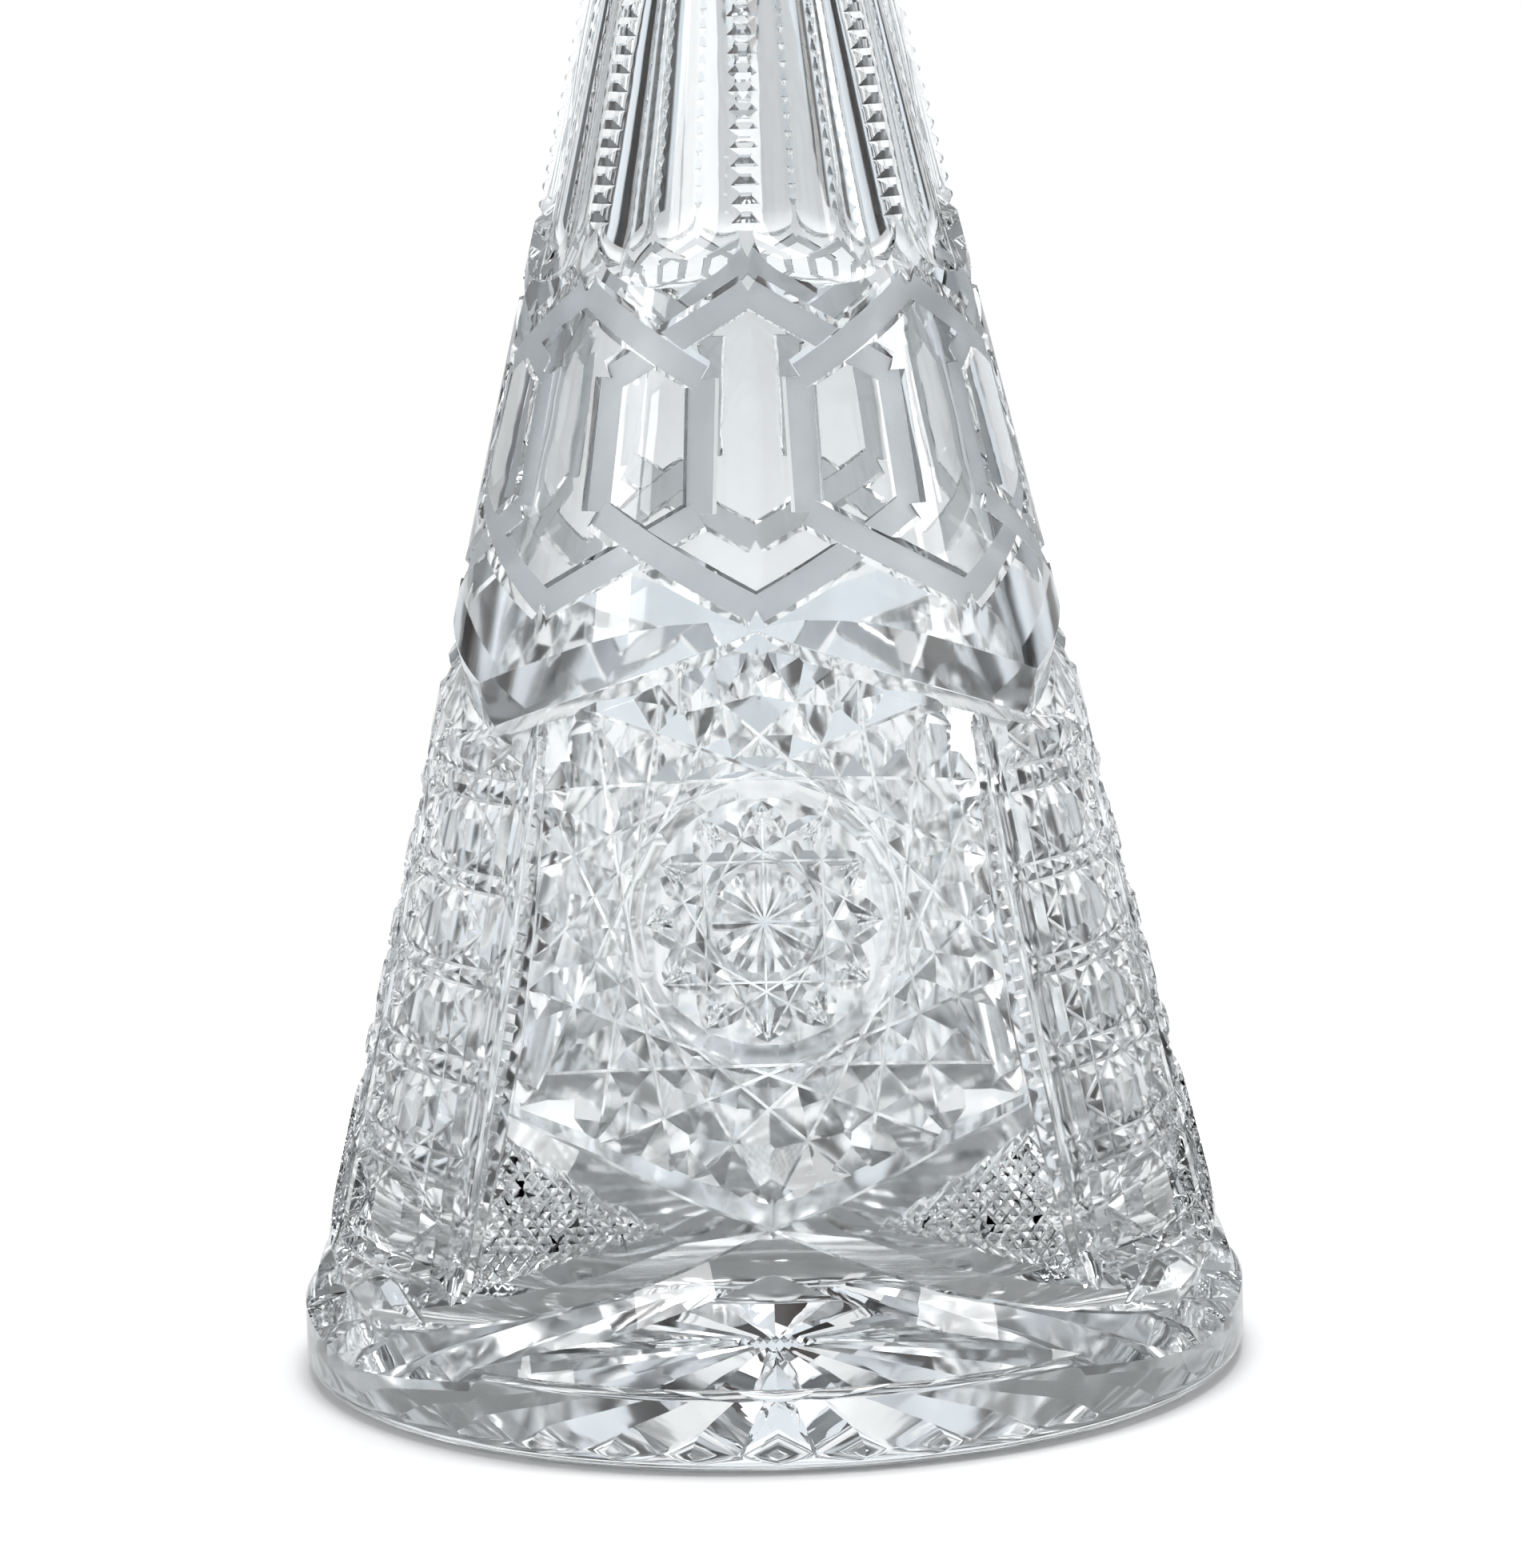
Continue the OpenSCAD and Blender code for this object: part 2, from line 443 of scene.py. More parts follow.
def cutGables():
    g = gableCuts
    for side in (-1, 1):
        mesh = newCutter("crossing" + str(side))
        shoulder = newCutter("shoulder" + str(side))
        for panelTurn in panelTurns:
            corners = [(panelTurn + side * turn, z) for turn, z in g["crossing"]]
            slopes = g["crossingSlopes"] if side > 0 else g["crossingSlopes"][::-1]
            path = evenPath(corners, 2.5)
            sections = []
            for turn, z in path:
                deep = blendTable(g["crossingDepth"], side * (turn - panelTurn))
                sections.append(mitreSection(deep, slopes[0], slopes[1], wheel["valleyFlat"]))
            sweepCut(mesh, path, sections)
            path = []
            sections = []
            slopes = g["shoulderSlopes"] if side > 0 else g["shoulderSlopes"][::-1]
            for i in range(53):
                away = 1.5 * i - 0.5
                path.append((panelTurn + side * away, g["shoulderHeight"] - g["shoulderFall"] * away))
                deep = blendTable(g["shoulderDepth"], away)
                narrow = 1 if away < 58 else max(0.5, 1 - (away - 58) / 12)
                sections.append(mitreSection(deep - 0.02, slopes[0] * narrow, slopes[1] * narrow, 0.08))
            sweepCut(shoulder, path, sections)


# The tall flutes that stand beside each panel, their thin border mitres and notched strips
fluteCuts = {
    "path": [(42.0, 102.5), (42.3, 90.0), (42.9, 60.0), (43.4, 30.0), (43.5, 19.5)],
    "halfWidth": [(19.5, 0.15), (21, 1.4), (25, 2.3), (50, 2.6), (70, 2.3), (90, 1.8),
                  (98, 1.1), (102.5, 0.1)],
    "hollow": 0.62,   # depth of the hollow for each millimetre of half width
    "borderDepth": 0.9,
    "notchPitch": 2.5,
    "notchDepth": 0.55,
    "notchGap": 0.25,   # turn between the border mitre and a notch
    "notchEnd": 42.4,   # turn where notches would stop beside a flute of no width
    "notchShrink": 0.55,   # turn lost for each millimetre of the flute's half width
    "notchTop": 99.0,
    "notchLow": 23.0,
}


def hollowSection(halfWidth, sag, drop, pieces):
    # a round hollow whose edges lie drop below the middle's tangent plane
    top = -wheel["clearance"]
    section = [(-halfWidth - 0.02, top)]
    for i in range(pieces + 1):
        share = -1 + 2 * i / pieces
        section.append((halfWidth * share, drop + sag * (1 - share * share)))
    return section + [(halfWidth + 0.02, top)]


def cutSideFlutes():
    f = fluteCuts
    for side in (-1, 1):
        flutes = newCutter("flute" + str(side))
        borders = newCutter("border" + str(side))
        notches = newCutter("notches" + str(side))
        for panelTurn in panelTurns:
            corners = [(panelTurn + side * turn, z) for turn, z in f["path"]]
            path = evenPath(corners, 1.8)
            sections = []
            for turn, z in path:
                half = blendTable(f["halfWidth"], z)
                drop = half * half / (2 * outerRadius(z))
                sections.append(hollowSection(half, f["hollow"] * half, drop, 8))
            sweepCut(flutes, path, sections)
            corners = [(panelTurn + side * turn, z) for z, turn in panelCuts["borders"]]
            mitre(borders, corners, f["borderDepth"], slopes=(0.9, 0.9), runs=(3.0, 3.0))
            z = f["notchTop"]
            while z > f["notchLow"]:
                inner = borderTurn(z) + f["notchGap"]
                outer = f["notchEnd"] - f["notchShrink"] * blendTable(f["halfWidth"], z)
                if outer - inner > 0.8:
                    mitre(notches, [(panelTurn + side * inner, z), (panelTurn + side * (outer + 0.6), z + 0.3)],
                          f["notchDepth"], slopes=(0.8, 1.4), runs=(0.6, 0.6), step=0.5, flat=0.03)
                z -= f["notchPitch"]


# The button columns between panels
columnCuts = {
    "turn": 60.0,
    "pairs": [(92.5, 89.0), (79.0, 76.5), (66.0, 63.5), (53.5, 50.0), (40.0, 36.5), (24.5, 21.5)],
    "pairReach": 15.4,
    "pairDepth": 1.5,
    "uprights": [6.4, 10.6],
    "uprightDepth": 1.5,
    "diagonalReach": 12.6,
    "diagonalDepth": 1.45,
}


def cutColumns():
    c = columnCuts
    columns = [turn + c["turn"] for turn in panelTurns]
    for i, (high, low) in enumerate(c["pairs"]):
        # the flank towards a button is the wider one
        for name, z, slopes in (("high", high, (0.85, 1.15)), ("low", low, (1.15, 0.85))):
            mesh = newCutter("pair" + name + str(i))
            for turn in columns:
                corners = [(turn - c["pairReach"], z), (turn + c["pairReach"], z)]
                mitre(mesh, corners, c["pairDepth"], slopes=slopes, runs=(2.2, 2.2), step=0.9)
    for side in (-1, 1):
        for i, away in enumerate(c["uprights"]):
            mesh = newCutter("upright" + str(side) + str(i))
            buttonSide = 1.75 if i == 0 else 1.25
            outerSide = 1.25
            slopes = (outerSide, buttonSide) if side < 0 else (buttonSide, outerSide)
            for turn in columns:
                corners = [(turn + side * away, 17.5), (turn + side * away, 95.5)]
                # going up, the left of travel is towards smaller turns
                mitre(mesh, corners, c["uprightDepth"], slopes=slopes[::-1], runs=(3.0, 3.0))
        for i, (high, low) in enumerate(c["pairs"]):
            middle = (high + low) / 2
            above = (c["pairs"][i - 1][1] + high) / 2 if i > 0 else middle + 6.5
            below = (low + c["pairs"][i + 1][0]) / 2 if i + 1 < len(c["pairs"]) else middle - 6.5
            share = c["diagonalReach"] / c["uprights"][1]
            top = middle + (above - middle) * share
            bottom = middle + (below - middle) * share
            mesh = newCutter("diagonal" + str(side) + str(i))
            for turn in columns:
                corners = [(turn - side * c["diagonalReach"], top), (turn, middle),
                           (turn + side * c["diagonalReach"], bottom)]
                mitre(mesh, corners, c["diagonalDepth"], slopes=(1.25, 1.25), runs=(1.6, 1.6), step=0.9)


# Fine crosshatching in the two triangles beside each crossing
hatchCuts = {
    "corners": [(13.0, 33.0), (38.8, 44.6), (40.8, 21.5)],
    "pitch": 1.6,
    "depth": 0.62,
    "slope": 1.22,
}


def clippedLine(start, direction, polygon):
    # the part of a line that lies inside a convex polygon, as two distances along it
    low, high = -1e9, 1e9
    count = len(polygon)
    area = sum(polygon[i][0] * polygon[(i + 1) % count][1] - polygon[(i + 1) % count][0] * polygon[i][1]
               for i in range(count))
    for i in range(count):
        ax, ay = polygon[i]
        bx, by = polygon[(i + 1) % count]
        nx, ny = (by - ay, ax - bx) if area > 0 else (ay - by, bx - ax)
        facing = nx * direction[0] + ny * direction[1]
        gap = nx * (ax - start[0]) + ny * (ay - start[1])
        if abs(facing) < 1e-9:
            if gap < 0:
                return None
        elif facing > 0:
            high = min(high, gap / facing)
        else:
            low = max(low, gap / facing)
    return (low, high) if high - low > 1.0 else None


def laidOut(turn, z, centreHeight):
    # the inverse of unrolled, about turn 0
    reach = (coneTip - centreHeight) / math.cos(coneLean)
    slant = (coneTip - z) / math.cos(coneLean)
    fan = math.radians(turn) * math.sin(coneLean)
    return slant * math.sin(fan), reach - slant * math.cos(fan)


def cutHatching():
    h = hatchCuts
    for side in (-1, 1):
        polygon = [laidOut(side * turn, z, panelCuts["ringHeight"]) for turn, z in h["corners"]]
        for tilt in (-1, 1):
            direction = (math.cos(math.radians(45)), tilt * math.sin(math.radians(45)))
            normal = (-direction[1], direction[0])
            places = [x * normal[0] + y * normal[1] for x, y in polygon]
            lines = []
            place = min(places) + h["pitch"] * 0.5
            while place < max(places):
                start = (normal[0] * place, normal[1] * place)
                span = clippedLine(start, direction, polygon)
                if span:
                    lines.append(((start[0] + direction[0] * span[0], start[1] + direction[1] * span[0]),
                                  (start[0] + direction[0] * span[1], start[1] + direction[1] * span[1])))
                place += h["pitch"]
            starCut("hatch" + str(side) + str(tilt), lines, h["depth"], h["slope"], (0.9, 0.9), step=2.5)


# The satin lattice of eight woven hexagons around the upper cone
latticeCuts = {
    "count": 8,
    "top": 161.0,
    "cornerTurn": 33.75,
    "highCorner": 149.2,
    "lowCorner": 130.6,
    "bottom": 117.4,
    "strapWidth": 3.85,
    "walls": (0.55, 1.35),   # inner and outer wall, width for each millimetre of depth
    "overDepth": 0.95,
    "underDepth": 0.6,
}


def strapSection(innerDepth, outerDepth, outerOnLeft):
    c = latticeCuts
    clear = wheel["clearance"]
    half = c["strapWidth"] / 2
    inner, outer = c["walls"]
    if outerOnLeft:
        return [(-half - inner * (innerDepth + clear), -clear), (-half, innerDepth),
                (half, outerDepth), (half + outer * (outerDepth + clear), -clear)]
    return [(-half - outer * (outerDepth + clear), -clear), (-half, outerDepth),
            (half, innerDepth), (half + inner * (innerDepth + clear), -clear)]


def strapArms(hexagon):
    # (name, start, end, over the neighbour) for one hexagon, as (turn, height) from its middle
    c = latticeCuts
    w = c["cornerTurn"]
    topOver = hexagon % 2 == 1
    return [
        ("topLeft", (-w, c["highCorner"]), (0, c["top"]), topOver),
        ("topRight", (0, c["top"]), (w, c["highCorner"]), topOver),
        ("right", (w, c["highCorner"]), (w, c["lowCorner"]), False),
        ("bottomRight", (w, c["lowCorner"]), (0, c["bottom"]), False),
        ("bottomLeft", (0, c["bottom"]), (-w, c["lowCorner"]), True),
        ("left", (-w, c["lowCorner"]), (-w, c["highCorner"]), False),
    ]


def cutLattice():
    c = latticeCuts
    for arm in range(6):
        mesh = newCutter("strap" + str(arm))
        for hexagon in range(c["count"]):
            middle = 360 * hexagon / c["count"]
            name, start, end, over = strapArms(hexagon)[arm]
            corners = [(middle + start[0], start[1]), (middle + end[0], end[1])]
            path = evenPath(corners, 2.0)
            sections = []
            for i in range(len(path)):
                bow = math.sin(math.pi * i / (len(path) - 1))
                deep = c["underDepth"] + (c["overDepth"] - c["underDepth"]) * (bow if over else 0)
                # travel runs clockwise round the hexagon, so its outside is on the left
                sections.append(strapSection(deep + 0.12, deep, True))
            sweepCut(mesh, path, sections, satinStrip=1)


# The neck's hollow flutes and the notched ridges between them
neckCuts = {
    "count": 8,
    "low": 161.5,
    "cusp": 170.0,
    "high": 247.0,
    "topCusp": 241.0,
    "ridgeHalf": 0.85,
    "hollow": [(161.5, 1.5), (185, 1.2), (215, 0.95), (247, 0.8)],
    "notchLow": 170.6,
    "notchHigh": 240.0,
    "notchPitch": 2.6,
    "notchDepth": 0.85,
}


def cutNeck():
    n = neckCuts
    spread = 180 / n["count"]
    mesh = newCutter("neckFlutes")
    other = newCutter("neckFlutesToo")
    for k in range(n["count"]):
        turn = 360 * (k + 0.5) / n["count"]
        path = []
        sections = []
        steps = 46
        for i in range(steps + 1):
            share = i / steps
            # points lie closest together where the flute opens and closes
            if share < 0.5:
                z = n["low"] + (n["high"] - n["low"]) * 2 * (share ** 1.6) * (0.5 ** (1 - 1.6)) / 2
            else:
                z = n["low"] + (n["high"] - n["low"]) * (0.5 - 0.5 * math.cos(math.pi * share))
            radius = outerRadius(z)
            full = math.radians(spread) * radius - n["ridgeHalf"]
            opening = 1.0
            if z < n["cusp"]:
                opening = math.sqrt(max(0.0, 1 - ((n["cusp"] - z) / (n["cusp"] - n["low"])) ** 2))
            if z > n["topCusp"]:
                opening = math.sqrt(max(0.0, 1 - ((z - n["topCusp"]) / (n["high"] - n["topCusp"])) ** 2))
            half = max(0.08, full * opening)
            angle = half / radius
            drop = radius * (1 - math.cos(angle))
            sag = blendTable(n["hollow"], z) * opening ** 1.3
            path.append((turn, z))
            sections.append(hollowSection(radius * math.sin(angle), max(sag, 0.02), drop, 12))
        sweepCut(mesh if k % 2 else other, path, sections)
    mesh = newCutter("neckNotches")
    for k in range(n["count"]):
        turn = 360 * k / n["count"]
        z = n["notchLow"]
        while z < n["notchHigh"]:
            wide = math.degrees(2.3 / outerRadius(z))
            mitre(mesh, [(turn - wide, z), (turn + wide, z)], n["notchDepth"], slopes=(1.35, 1.35),
                  runs=(0.0, 0.0), step=1.0, flat=0.02)
            z += n["notchPitch"]


# The star under the foot
footStar = {
    "rays": 32,
    "tipRadius": 62.0,
    "widestRadius": 50.0,
    "depth": 2.6,
    "centreDepth": 0.6,
}


def cutFootStar():
    f = footStar
    spread = math.pi / f["rays"]
    for group in (0, 1):
        mesh = newCutter("footRays" + str(group))
        for k in range(group, f["rays"], 2):
            angle = math.radians(-90) + 2 * spread * k
            out = Vector((math.cos(angle), math.sin(angle), 0))
            side = Vector((-out.y, out.x, 0))
            rings = []
            for radius in (4.0, 12.0, 24.0, 36.0, 46.0, 52.0, 56.0, 59.0, 61.0, f["tipRadius"]):
                if radius <= f["widestRadius"]:
                    half = radius * math.tan(spread) * 1.02
                    deep = f["centreDepth"] + (f["depth"] - f["centreDepth"]) * radius / f["widestRadius"]
                else:
                    share = (radius - f["widestRadius"]) / (f["tipRadius"] - f["widestRadius"])
                    half = f["widestRadius"] * math.tan(spread) * math.sqrt(max(0.0, 1 - share ** 2)) + 0.01
                    deep = f["depth"] * max(0.0, 1 - share ** 2) ** 0.8 - 0.01
                lift = 1.0
                grown = half * (1 + lift / max(deep, 0.15)) if deep > 0.15 else half + 0.2
                rings.append([mesh.verts.new(out * radius + side * -grown + Vector((0, 0, -lift))),
                              mesh.verts.new(out * radius + side * grown + Vector((0, 0, -lift))),
                              mesh.verts.new(out * radius + Vector((0, 0, deep)))])
            for near, far in zip(rings, rings[1:]):
                for i in range(3):
                    j = (i + 1) % 3
                    mesh.faces.new((near[j], near[i], far[i], far[j]))
            mesh.faces.new(rings[0])
            mesh.faces.new(list(reversed(rings[-1])))


cutLongMitres()
cutHobstars()
cutGables()
cutSideFlutes()
cutColumns()
cutHatching()
cutLattice()
cutNeck()
cutFootStar()
print("cutters made:", len(cutters))


def dress(piece, materials):
    for material in materials:
        piece.data.materials.append(material)


def cutGlass(blank, materials):
    # takes every cutter out of the blank in one go; each cut face keeps its cutter's material
    group = bpy.data.collections.new("cutters")
    bpy.context.scene.collection.children.link(group)
    made = []
    dress(blank, materials)
    for cutterName, mesh in cutters:
        thing = meshObject(cutterName, mesh)
        dress(thing, materials)
        bpy.context.scene.collection.objects.unlink(thing)
        group.objects.link(thing)
        made.append(thing)
    tool = blank.modifiers.new("cuts", "BOOLEAN")
    tool.operation = "DIFFERENCE"
    tool.solver = "MANIFOLD"
    tool.operand_type = "COLLECTION"
    tool.collection = group
    bpy.context.view_layer.update()
    graph = bpy.context.evaluated_depsgraph_get()
    result = bpy.data.meshes.new_from_object(blank.evaluated_get(graph))
    blank.modifiers.clear()
    blank.data = result
    for thing in made:
        data = thing.data
        bpy.data.objects.remove(thing)
        bpy.data.meshes.remove(data)
    bpy.data.collections.remove(group)
    return blank


# Smoothing and finishing the glass
finishing = {
    "sharpAngle": 14.0,   # degrees between faces that stay a crisp cut edge
}


def crispEdges(thing):
    for face in thing.data.polygons:
        face.use_smooth = True
    thing.data.set_sharp_from_angle(angle=math.radians(finishing["sharpAngle"]))


def makeBody(materials):
    mesh = revolve(outerProfile() + innerProfile(), blankShape["around"])
    # the seat is ground, and the rest of the inside is left as it was blown
    for face in mesh.faces:
        middle = face.calc_center_median()
        radius = math.hypot(middle.x, middle.y)
        if middle.z > blankShape["baseThickness"] - 0.1 and radius < outerRadius(middle.z) - 3.0:
            ground = middle.z > rimHeight - blankShape["seatDepth"] and middle.z < rimHeight - 0.7
            face.material_index = 1 if ground else 2
    bmesh.ops.recalc_face_normals(mesh, faces=mesh.faces)
    body = meshObject("decanterBody", mesh)
    for name, cutter in cutters:
        bmesh.ops.recalc_face_normals(cutter, faces=cutter.faces)
    cutGlass(body, materials)
    crispEdges(body)
    body.data.calc_loop_triangles()
    print("body cut, triangles:", len(body.data.loop_triangles))
    return body


# The stopper: a ground plug, a short waist and a faceted knob with a star cut into its table
stopperShape = {
    "sides": 8,
    "plugTopRadius": 11.94,
    "plugSlope": 0.05,
    "waistRadius": 8.5,
    "waistHeight": 7.0,
    "rings": [   # height above the waist, radius, and turn in steps of one side
        (0.0, 7.6, 0.0),
        (6.5, 17.2, 0.5),
        (15.5, 24.0, 0.0),
        (21.5, 25.0, 0.5),
        (29.0, 25.0, 0.0),
        (38.0, 20.4, 0.5),
        (48.0, 10.8, 0.0),
    ],
    "grooveDepth": 1.3,
    "starDepth": 1.6,
    "starRadius": 9.6,
}


def addVee(mesh, points, normals, depth, slope, lift=1.2):
    # a V groove through a few points, shallow at both ends
    rings = []
    last = len(points) - 1
    for i, (point, normal) in enumerate(zip(points, normals)):
        along = (points[min(i + 1, last)] - points[max(i - 1, 0)]).normalized()
        across = normal.cross(along).normalized()
        share = 1 - abs(2 * i / last - 1) ** 3
        deep = depth * share - 0.04
        wide = slope * (deep + lift)
        rings.append([mesh.verts.new(point + normal * lift - across * wide),
                      mesh.verts.new(point - normal * deep),
                      mesh.verts.new(point + normal * lift + across * wide)])
    for near, far in zip(rings, rings[1:]):
        for k in range(3):
            following = (k + 1) % 3
            mesh.faces.new((near[k], near[following], far[following], far[k]))
    mesh.faces.new(list(reversed(rings[0])))
    mesh.faces.new(rings[-1])


def makeStopper(materials):
    s = stopperShape
    knobLow = rimHeight + s["waistHeight"]
    lowRadius = s["plugTopRadius"] - (rimHeight - stopperLow.z) * s["plugSlope"]
    plugLow = stopperLow.z
    profile = [(0.0, plugLow), (lowRadius - 1.0, plugLow)]
    profile += [(lowRadius - 0.3, plugLow + 0.25), (lowRadius, plugLow + 1.0)]
    profile += [(s["plugTopRadius"] - 0.05, rimHeight - 0.9), (s["plugTopRadius"] - 0.35, rimHeight - 0.2)]
    profile += arcPoints(s["waistRadius"] + 3.2, rimHeight + 3.0, 3.2, 250, 180, 6)
    profile += [(s["waistRadius"], knobLow - 1.0), (s["waistRadius"] - 0.4, knobLow + 4.0)]
    profile += [(0.0, knobLow + 4.0)]
    mesh = revolve(profile, 64)
    for face in mesh.faces:
        middle = face.calc_center_median()
        if middle.z < rimHeight - 0.5 and math.hypot(middle.x, middle.y) > lowRadius - 0.4:
            face.material_index = 1
    bmesh.ops.recalc_face_normals(mesh, faces=mesh.faces)
    stem = meshObject("stopperPiece", mesh)

    knob = bmesh.new()
    for height, radius, turn in s["rings"]:
        for i in range(s["sides"]):
            angle = 2 * math.pi * (i + turn + 0.5) / s["sides"]
            knob.verts.new((radius * math.cos(angle), radius * math.sin(angle), knobLow + height))
    bmesh.ops.convex_hull(knob, input=knob.verts)
    bmesh.ops.dissolve_limit(knob, angle_limit=math.radians(1), verts=knob.verts, edges=knob.edges)
    bmesh.ops.recalc_face_normals(knob, faces=knob.faces)
    knobThing = meshObject("knobBlank", knob)

    grooves = []
    top = knobLow + s["rings"][-1][0]
    for group in (0, 1):
        cutter = bmesh.new()
        for i in range(group, s["sides"], 2):
            angle = 2 * math.pi * (i + 0.5) / s["sides"]
            out = Vector((math.cos(angle), math.sin(angle), 0))
            points = []
            normals = []
            for j in range(9):
                lift = 12.5 + 19.5 * j / 8
                reach = blendTable([(0, 22.9), (15.5, 24.0), (21.5, 23.7), (29, 25.0), (38, 18.9)], lift)
                points.append(out * reach + Vector((0, 0, knobLow + lift)))
                normals.append(out)
            addVee(cutter, points, normals, s["grooveDepth"], 1.5)
        grooves.append(cutter)
    for i in range(s["sides"] // 2):
        cutter = bmesh.new()
        angle = 2 * math.pi * i / s["sides"]
        out = Vector((math.cos(angle), math.sin(angle), 0))
        points = [out * (s["starRadius"] * (j / 4 - 1)) + Vector((0, 0, top)) for j in range(9)]
        addVee(cutter, points, [Vector((0, 0, 1))] * 9, s["starDepth"], 1.1)
        grooves.append(cutter)
    cutters.clear()
    for i, cutter in enumerate(grooves):
        bmesh.ops.recalc_face_normals(cutter, faces=cutter.faces)
        cutters.append(("stopperCut" + str(i), cutter))
    cutGlass(knobThing, materials)
    dress(stem, materials)
    joinTool = stem.modifiers.new("knob", "BOOLEAN")
    joinTool.operation = "UNION"
    joinTool.solver = "MANIFOLD"
    joinTool.object = knobThing
    bpy.context.view_layer.update()
    graph = bpy.context.evaluated_depsgraph_get()
    result = bpy.data.meshes.new_from_object(stem.evaluated_get(graph))
    stem.modifiers.clear()
    stem.data = result
    bpy.data.objects.remove(knobThing)
    crispEdges(stem)
    return stem


# Glass
glassLook = {
    "ior": 1.545,
    "tint": (0.972, 0.984, 0.986, 1.0),
    "polish": 0.012,
    "blownLow": 0.1,   # roughness of the blown inside near the floor and in the neck
    "blownHigh": 0.035,
    "satinRoughness": 0.42,
    "satinTint": (0.66, 0.69, 0.71, 1.0),
    "satinDark": (0.52, 0.55, 0.575, 1.0),
    "satinClear": 0.6,   # how much of the light goes through the ground faces
}


def node(tree, kind, x, y, **values):
    made = tree.nodes.new(kind)
    made.location = (x, y)
    for key, value in values.items():
        made.inputs[key].default_value = value
    return made


def crystalMaterial(name):
    material = bpy.data.materials.new(name)
    material.use_nodes = True
    tree = material.node_tree
    shader = tree.nodes["Principled BSDF"]
    shader.inputs["Base Color"].default_value = glassLook["tint"]
    shader.inputs["IOR"].default_value = glassLook["ior"]
    shader.inputs["Transmission Weight"].default_value = 1.0
    place = node(tree, "ShaderNodeTexCoord", -900, 0)
    # soft patches where the polishing is a little less even
    haze = node(tree, "ShaderNodeTexNoise", -700, 100, Scale=60.0, Detail=4.0)
    hazeRange = node(tree, "ShaderNodeMapRange", -450, 100)
    hazeRange.inputs["From Min"].default_value = 0.55
    hazeRange.inputs["From Max"].default_value = 0.8
    hazeRange.inputs["To Min"].default_value = 0.0
    hazeRange.inputs["To Max"].default_value = glassLook["polish"] * 2.5
    # hand polishing leaves a very slight waviness
    wave = node(tree, "ShaderNodeTexNoise", -700, -200, Scale=95.0, Detail=2.0)
    bump = node(tree, "ShaderNodeBump", -300, -200, Strength=0.35, Distance=0.00012)
    tree.links.new(place.outputs["Object"], haze.inputs["Vector"])
    tree.links.new(place.outputs["Object"], wave.inputs["Vector"])
    tree.links.new(haze.outputs["Fac"], hazeRange.inputs["Value"])
    tree.links.new(hazeRange.outputs["Result"], shader.inputs["Roughness"])
    tree.links.new(wave.outputs["Fac"], bump.inputs["Height"])
    tree.links.new(bump.outputs["Normal"], shader.inputs["Normal"])
    return material


def blownMaterial(name):
    # the inside is left as it was blown: clear above, softer and uneven low down
    material = bpy.data.materials.new(name)
    material.use_nodes = True
    tree = material.node_tree
    shader = tree.nodes["Principled BSDF"]
    shader.inputs["Base Color"].default_value = glassLook["tint"]
    shader.inputs["IOR"].default_value = glassLook["ior"]
    shader.inputs["Transmission Weight"].default_value = 1.0
    place = node(tree, "ShaderNodeTexCoord", -1100, 0)
    split = node(tree, "ShaderNodeSeparateXYZ", -900, 100)
    soft = node(tree, "ShaderNodeMapRange", -600, 100)
    soft.inputs["From Min"].default_value = 0.085
    soft.inputs["From Max"].default_value = 0.135
    soft.inputs["To Min"].default_value = glassLook["blownLow"]
    soft.inputs["To Max"].default_value = glassLook["blownHigh"]
    ripple = node(tree, "ShaderNodeTexNoise", -700, -200, Scale=38.0, Detail=2.0)
    bump = node(tree, "ShaderNodeBump", -300, -200, Strength=0.4, Distance=0.0006)
    tree.links.new(place.outputs["Object"], split.inputs["Vector"])
    tree.links.new(split.outputs["Z"], soft.inputs["Value"])
    tree.links.new(soft.outputs["Result"], shader.inputs["Roughness"])
    tree.links.new(place.outputs["Object"], ripple.inputs["Vector"])
    tree.links.new(ripple.outputs["Fac"], bump.inputs["Height"])
    tree.links.new(bump.outputs["Normal"], shader.inputs["Normal"])
    return material


